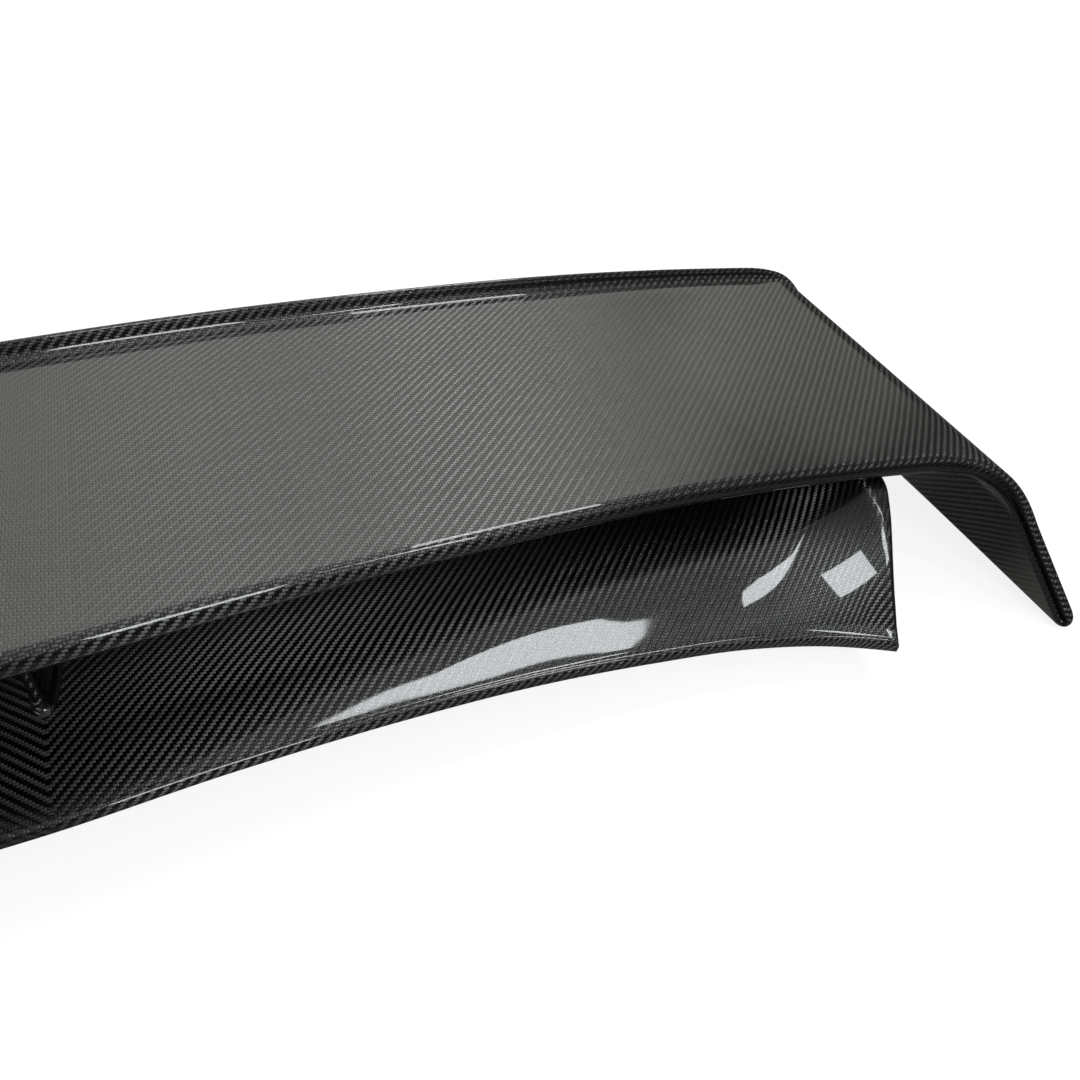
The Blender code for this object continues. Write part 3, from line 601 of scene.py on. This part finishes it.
def skin_piece(name, path, mat):
    O, I, CU, CV, E = [], [], [], [], []
    for s in STATIONS:
        side = -1.0 if s < 0 else 1.0
        a = abs(float(s))
        o, n, v, e = path(a)
        O.append(row(blade_point(a + 0 * o[:, 0], o[:, 0], o[:, 1], side)))
        I.append(row(blade_point(a + 0 * n[:, 0], n[:, 0], n[:, 1], side)))
        CU.append(side * (a + fall(a, o[:, 0])) * (1 + FLARE * o[:, 0])); CV.append(v); E.append(e)
    return grid_piece(name, O, I, CU, CV, E, mat)


upper = skin_piece("upper_skin_twill", upper_path, GLOSS)
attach(upper, "root"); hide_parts("blade_upper_skin")
lower = skin_piece("lower_skin_twill", lower_path, GLOSS)
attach(lower, "root"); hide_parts("blade_lower_skin")


# ------------------------------------------------------------------ base moulding
def base_piece():
    # the rings next to the border leave room for the rolled rim
    U = [k / 40 * 0.8 for k in range(40)] + list(np.linspace(0.8, 0.9884, 40)) + [1.0]
    T = [1.0] + [0.9 * (1 - k / 40) for k in range(41)]
    Y = list(np.linspace(Y_BLEND, Y_BASE_REAR - 6.0, 21)[1:]) + [Y_BASE_REAR]
    us = [-q for q in U[:0:-1]] + U
    TOP = []
    for q in us:
        side = -1.0 if q < 0 else 1.0
        rows = [base_top(abs(q), t) for t in T] + [base_top(abs(q), 0.0, y) for y in Y]
        TOP.append([(side * x, y, z) for x, y, z in rows])
    P = np.array(TOP)                       # blade frame
    a, b = P.shape[:2]
    # rounded rim: the edge rolls over with this radius before the wall goes down
    R = 4.0
    lowz = np.array([[base_under(P[i, j, 0], P[i, j, 1]) for j in range(b)] for i in range(a)])
    # cloth coordinates of the top
    du = np.linalg.norm(np.diff(P, axis=0), axis=2)
    cu = np.concatenate([np.zeros((1, b)), np.cumsum(du, axis=0)])
    cu -= cu[a // 2]
    dv = np.linalg.norm(np.diff(P[:, :, 1:], axis=1), axis=2)
    cv = np.concatenate([np.zeros((a, 1)), np.cumsum(dv, axis=1)], axis=1)
    cv -= cv[:, -1:]
    # border loop in order: front (j=0) left->right, right end, rear right->left, left end
    border = [(i, 0) for i in range(a)] + [(a - 1, j) for j in range(1, b)] + [(i, b - 1) for i in range(a - 2, -1, -1)] + [(0, j) for j in range(b - 2, 0, -1)]
    verts, faces, att = [], [], []
    V = {}
    # outward direction in plan at each border point
    outd = {}
    B = np.array([P[i, j] for i, j in border])
    nb = len(border)
    for k, (i, j) in enumerate(border):
        tvec = B[(k + 1) % nb] - B[(k - 1) % nb]
        n = np.array([tvec[1], -tvec[0], 0.0]); n /= max(np.linalg.norm(n), 1e-9)
        outd[(i, j)] = n
    # pull the outermost rings in so the roll has room and nothing grows
    Q = P.copy()
    for (i, j) in border:
        d = outd[(i, j)]
        Q[i, j] = P[i, j] - d * R
        # height on the surface a little inside: use the neighbour slope
        ii, jj = min(max(i, 1), a - 2), min(max(j, 1), b - 2)
        step = P[i, j] - P[ii, jj]
        plan = np.linalg.norm(step[:2])
        slope = step[2] / plan if plan > 1e-6 else 0.0
        Q[i, j, 2] = P[i, j, 2] - slope * R * 0.9
    # the cloth goes with the pulled border
    sgn = {}
    for (i, j) in border:
        sv = -1.0 if j == 0 else (1.0 if j == b - 1 else 0.0)
        su = (1.0 if i == a - 1 else (-1.0 if i == 0 else 0.0)) if sv == 0 else 0.0
        sgn[(i, j)] = (su, sv)
        cu[i, j] -= su * R
        cv[i, j] -= sv * R
    for i in range(a):
        for j in range(b):
            idx = len(verts)
            verts.append(Q[i, j]); V[(i, j)] = idx
            att.append((cu[i, j], cv[i, j], 0.0))
    for i in range(a - 1):
        for j in range(b - 1):
            faces.append((V[(i, j)], V[(i + 1, j)], V[(i + 1, j + 1)], V[(i, j + 1)]))
    prev = [V[k] for k in border]
    arcs = [(sin(t), 1 - cos(t)) for t in np.radians([11, 22, 34, 45, 56, 67, 79, 90])]
    lev = []
    for sx, cz in arcs:
        cur = []
        for k, (i, j) in enumerate(border):
            d = outd[(i, j)]
            base = Q[i, j]
            top = base[2]
            full = min(R, (top - lowz[i, j]) * 0.75)
            pt = np.array([base[0] + d[0] * R * sx, base[1] + d[1] * R * sx, top - full * cz])
            cur.append(len(verts)); verts.append(pt)
            ds = R * np.arcsin(min(sx, 1.0))
            sgn_u, sgn_v = sgn[(i, j)]
            att.append((cu[i, j] + sgn_u * ds, cv[i, j] + sgn_v * ds, 0.0))
        for k in range(nb):
            faces.append((prev[k], cur[k], cur[(k + 1) % nb], prev[(k + 1) % nb])[::-1])
        prev = cur
    # wall straight down to the lower rim
    for f in (0.25, 0.5, 0.75, 1.0):
        cur = []
        for k, (i, j) in enumerate(border):
            d = outd[(i, j)]
            z_top = Q[i, j, 2] - min(R, (Q[i, j, 2] - lowz[i, j]) * 0.75)
            z = z_top + (lowz[i, j] - z_top) * f
            px = Q[i, j] + d * R
            cur.append(len(verts)); verts.append(np.array([px[0], px[1], z]))
            ds = R * pi / 2 + (z_top - z)
            sgn_u, sgn_v = sgn[(i, j)]
            att.append((cu[i, j] + sgn_u * ds, cv[i, j] + sgn_v * ds, 0.0))
        for k in range(nb):
            faces.append((prev[k], cur[k], cur[(k + 1) % nb], prev[(k + 1) % nb])[::-1])
        prev = cur
    # inner rim and the hollow's wall and ceiling, coarse
    w = BASE_WALL
    cur = []
    for k, (i, j) in enumerate(border):
        d = outd[(i, j)]
        px = Q[i, j] + d * (R - w)
        cur.append(len(verts)); verts.append(np.array([px[0], px[1], lowz[i, j]])); att.append(att[prev[k]])
    for k in range(nb):
        faces.append((prev[k], cur[k], cur[(k + 1) % nb], prev[(k + 1) % nb])[::-1])
    prev = cur
    # ceiling: same grid lowered by the wall, and pulled in by it
    C = {}
    cx = 1 - w / X_BASE_TOP
    for i in range(a):
        for j in range(b):
            k = (P[i, j, 1] - P[i, 0, 1]) / (P[i, -1, 1] - P[i, 0, 1])
            x2 = P[i, j, 0] * cx
            y2 = P[i, 0, 1] + w + k * (P[i, -1, 1] - P[i, 0, 1] - 2 * w)
            z2 = max(P[i, j, 2] - w, lowz[i, j] + 0.8)
            C[(i, j)] = len(verts); verts.append(np.array([x2, y2, z2])); att.append((cu[i, j], cv[i, j], 0.0))
    for i in range(a - 1):
        for j in range(b - 1):
            faces.append((C[(i, j)], C[(i, j + 1)], C[(i + 1, j + 1)], C[(i + 1, j)]))
    cur = [C[k] for k in border]
    for k in range(nb):
        faces.append((prev[k], cur[k], cur[(k + 1) % nb], prev[(k + 1) % nb])[::-1])
    verts = row(tip_frame(np.array(verts)))
    att = np.array(att)
    att[:, 0] = np.abs(att[:, 0])           # the cloth is mirrored about the centre seam
    me = bpy.data.meshes.new("base_twill")
    me.from_pydata([tuple(v) for v in verts], [], faces)
    bm = bmesh.new(); bm.from_mesh(me)
    bmesh.ops.recalc_face_normals(bm, faces=bm.faces)
    bm.to_mesh(me); bm.free()
    # directions from the top grid
    Pm = row(tip_frame(P))
    gi, gj = np.gradient(Pm, axis=0), np.gradient(Pm, axis=1)
    gi /= np.maximum(np.linalg.norm(gi, axis=-1, keepdims=True), 1e-12)
    gj /= np.maximum(np.linalg.norm(gj, axis=-1, keepdims=True), 1e-12)
    wu, wv = np.zeros_like(verts), np.zeros_like(verts)
    wu[:a * b], wv[:a * b] = gi.reshape(-1, 3), gj.reshape(-1, 3)
    n_ring = nb * (len(arcs) + 4 + 1)
    for q in range(n_ring):
        i, j = border[q % nb]
        wu[a * b + q], wv[a * b + q] = gi[i, j], gj[i, j]
        if q // nb >= 2:
            if j == 0 or j == b - 1:
                wv[a * b + q] = (0, 0, 1)
            else:
                wu[a * b + q] = (0, 0, 1)
    wu[a * b + n_ring:], wv[a * b + n_ring:] = gi.reshape(-1, 3), gj.reshape(-1, 3)
    for nm, arr in (("cloth", att), ("weft_dir", wu), ("warp_dir", wv)):
        at = me.attributes.new(nm, "FLOAT_VECTOR", "POINT")
        at.data.foreach_set("vector", np.asarray(arr, np.float32).ravel())
    ob = bpy.data.objects.new("base_twill", me)
    bpy.context.scene.collection.objects.link(ob)
    me.materials.append(GLOSS)
    me.shade_smooth()
    me.set_sharp_from_angle(angle=radians(50))
    return ob


base = base_piece()
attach(base, "root"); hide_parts("base_upper_shell")


# ------------------------------------------------------------------ centre post
def post_piece():
    n = 96
    lv = [(0.0, 1.35, 1.10), (0.03, 1.12, 1.03), (0.08, 1.0, 1.0), (0.5, 1.0, 0.97), (0.9, 1.05, 0.98), (0.97, 1.25, 1.02),
          (1.0, 1.55, 1.06)]
    fs = np.concatenate([np.linspace(0, 0.1, 12), np.linspace(0.1, 0.88, 14)[1:], np.linspace(0.88, 1.0, 14)[1:]])
    lf, lw, ll = (np.array([q[k] for q in lv]) for k in range(3))
    O, I, CU, CV = [], [], [], []
    for f in fs:
        kw, kl = float(np.interp(f, lf, lw)), float(np.interp(f, lf, ll))
        ro, ri = [], []
        for q in range(n + 1):
            a = 2 * pi * q / n
            for lst, hw, hl in ((ro, POST_W / 2 * kw, POST_LEN / 2 * kl), (ri, POST_W / 2 - 1.6, POST_LEN / 2 - 2.4)):
                c, s_ = cos(a), sin(a)
                c = (1 if c > 0 else -1) * abs(c) ** 0.75
                x, y = hw * c * (1 - 0.28 * (1 + s_) / 2 * abs(s_)), POST_YP + 4.0 * f + hl * s_
                z0 = solve_on(lambda p, w: float(base_flat(abs(p), w)), x, y) + GAP
                z1 = solve_on(blade_under, x, y) - GAP
                lst.append((x, y, z0 + f * (z1 - z0)))
        O.append(row(np.array(ro))); I.append(row(np.array(ri)))
        seg = np.linalg.norm(np.diff(np.array(ro), axis=0), axis=1)
        CU.append(np.concatenate([[0], np.cumsum(seg)])); CV.append(np.full(n + 1, f * 78.0))
    O, I, CU, CV = (np.array(q) for q in (O, I, CU, CV))
    ob = grid_piece("post_twill", O, I, CU, CV, np.zeros_like(CU), GLOSS, smooth_deg=50)
    # weld the closing column
    bm = bmesh.new(); bm.from_mesh(ob.data)
    bmesh.ops.remove_doubles(bm, verts=bm.verts, dist=1e-6)
    # the two closing walls fall together: drop what is left of them
    wall = [f for f in bm.faces if sum(len(e.link_faces) > 2 for e in f.edges) >= 2]
    bmesh.ops.delete(bm, geom=wall, context="FACES_ONLY")
    loose = [e for e in bm.edges if not e.link_faces]
    bmesh.ops.delete(bm, geom=loose, context="EDGES")
    bmesh.ops.recalc_face_normals(bm, faces=bm.faces)
    bm.to_mesh(ob.data); bm.free()
    ob.data.shade_smooth(); ob.data.set_sharp_from_angle(angle=radians(50))
    return ob


post = post_piece()
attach(post, "root"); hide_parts("centre_post")

# ------------------------------------------------------------------ carried-over nodes
for name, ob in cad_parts.items():
    if name in ("blade_upper_skin", "blade_lower_skin", "base_upper_shell", "centre_post"):
        continue
    if name == "base_closing_skin":
        mat = SATIN
    elif name.startswith(("deck_seal", "access_plug")):
        mat = RUBBER
    elif name.endswith("spar"):
        mat = SPARM
    elif name.startswith(("mounting_pad", "blade_insert", "end_bracket")) or name == "post_core":
        mat = ALU
    else:
        mat = STEEL
    if ob.data.materials:
        for k in range(len(ob.data.materials)):
            ob.data.materials[k] = mat
    else:
        ob.data.materials.append(mat)

# ------------------------------------------------------------------ floor, world and lights
fm, fnt, fp, fg = new_mat("pale_floor")
fp.inputs["Base Color"].default_value = (0.30, 0.30, 0.30, 1)
fp.inputs["Roughness"].default_value = 0.9
fp.inputs["Specular IOR Level"].default_value = 0.1
fp.inputs["Emission Color"].default_value = (1, 1, 1, 1)
fp.inputs["Emission Strength"].default_value = 0.86
me = bpy.data.meshes.new("floor")
me.from_pydata([(-12, -12, -0.0005), (12, -12, -0.0005), (12, 12, -0.0005), (-12, 12, -0.0005)], [], [(0, 1, 2, 3)])
me.materials.append(fm)
floor = bpy.data.objects.new("floor", me)
bpy.context.scene.collection.objects.link(floor)
floor.visible_glossy = False
bpy.context.scene.view_settings.view_transform = "Standard"

# a dome that is brightest behind the wing and falls off smoothly to the right, overhead and in front
world = bpy.data.worlds.new("studio")
bpy.context.scene.world = world
world.use_nodes = True
wnt = world.node_tree
wg = G(wnt)
wt = N(wnt, "ShaderNodeTexCoord")
wsep = N(wnt, "ShaderNodeSeparateXYZ")
wnt.links.new(wt.outputs["Generated"], wsep.inputs[0])
DEG = 57.29578
el = wg.m("MULTIPLY", wg.m("ARCSINE", wg.m("MAXIMUM", wg.m("MINIMUM", wsep.outputs[2], 0.9999), -0.9999)), DEG)
az = wg.m("MULTIPLY", wg.m("ARCTAN2", wsep.outputs[0], wsep.outputs[1]), DEG)


def ramp(v, lo, hi):
    n = N(wnt, "ShaderNodeMapRange", interpolation_type="SMOOTHSTEP")
    wnt.links.new(v, n.inputs["Value"])
    n.inputs["From Min"].default_value, n.inputs["From Max"].default_value = lo, hi
    return n.outputs["Result"]


rise = wg.m("MULTIPLY", wg.m("SUBTRACT", el, 9.0), 0.033)
rise = wg.m("MAXIMUM", wg.m("MINIMUM", rise, 1.25), 0.0)
rise = wg.m("MULTIPLY", rise, wg.m("SUBTRACT", 1.0, ramp(el, 50.0, 68.0)))
sides = wg.m("MULTIPLY", wg.m("SUBTRACT", 1.0, ramp(az, 43.0, 60.0)), ramp(az, -75.0, -45.0))
back = wg.m("MULTIPLY", rise, sides)


def window(a0, a1, a2, a3, e0, e1, e2, e3, level):
    a_ = wg.m("MULTIPLY", ramp(az, a0, a1), wg.m("SUBTRACT", 1.0, ramp(az, a2, a3)))
    e_ = wg.m("MULTIPLY", ramp(el, e0, e1), wg.m("SUBTRACT", 1.0, ramp(el, e2, e3)))
    return wg.m("MULTIPLY", wg.m("MULTIPLY", a_, e_), level)


# two soft lifts towards the right of the blade
back = wg.m("ADD", back, wg.m("ADD", window(38, 44, 56, 61, 9, 14, 21, 28, 0.22), window(24, 36, 46, 52, 20, 26, 38, 44, 0.12)))
top = wg.m("MULTIPLY", ramp(el, 45.0, 75.0), 0.20)
front = wg.m("MULTIPLY", wg.m("SUBTRACT", 1.0, sides), wg.m("MULTIPLY", ramp(el, -5.0, 35.0), 0.07))
# below the horizon: the studio's ground, darker at the middle of its reflection in the drooping ends
low = wg.m("ADD", wg.m("MULTIPLY", wg.m("SUBTRACT", 1.0, ramp(el, -66.0, -60.5)), 0.19),
           wg.m("MULTIPLY", wg.m("MULTIPLY", ramp(el, -57.0, -52.0), wg.m("SUBTRACT", 1.0, ramp(el, -25.0, -5.0))), 0.10))
total = wg.m("ADD", wg.m("ADD", wg.m("ADD", back, top), wg.m("ADD", front, 0.035)), low)
bg = wnt.nodes["Background"]
bg.inputs[0].default_value = (1.0, 0.995, 0.935, 1)
wnt.links.new(total, bg.inputs[1])


def panel(name, centre, along, size, radiance, color=(1, 1, 1), shape="RECTANGLE"):
    """soft box facing down at a row-frame point in metres; along is its long direction in plan"""
    ld = bpy.data.lights.new(name, "AREA")
    ld.shape = shape
    ld.size, ld.size_y = size
    ld.energy = radiance * pi * size[0] * size[1]
    ld.color = color
    ob = bpy.data.objects.new(name, ld)
    bpy.context.scene.collection.objects.link(ob)
    ob.location = centre
    ob.rotation_euler = (0, 0, atan(along[1] / along[0]))
    ob.visible_camera = False
    return ob


AX, AY = 0.567, -0.823                       # the strip's direction in plan


COOL = (0.95, 0.98, 1.0)


def on_strip(s_, o, z=3.0):
    return (AX * s_ + 0.823 * o, AY * s_ + 0.567 * o, z)


# a tapered strip: wide in the middle, thin towards the left
sm, snt, sp, sg = new_mat("strip_glow")
sp.inputs["Base Color"].default_value = (0, 0, 0, 1)
sp.inputs["Emission Color"].default_value = (*COOL, 1)
sp.inputs["Emission Strength"].default_value = 13.0
STRIP = [(0.76, 0.040), (1.44, 0.107), (1.84, 0.282), (2.19, 0.374), (2.58, 0.31), (2.92, 0.17), (3.12, 0.060),
         (2.84, 0.058), (2.23, 0.022)]
me = bpy.data.meshes.new("strip_box")
me.from_pydata([on_strip(*q) for q in STRIP], [], [tuple(range(len(STRIP)))])
me.materials.append(sm)
strip = bpy.data.objects.new("strip_box", me)
bpy.context.scene.collection.objects.link(strip)
strip.visible_camera = False
panel("key_box", (0.10, -3.05, 3.0), (1, 0), (1.15, 1.45), 12.0, COOL)
panel("top_box", (1.62, 0.40, 2.95), (1, 0), (1.15, 1.05), 9.0)
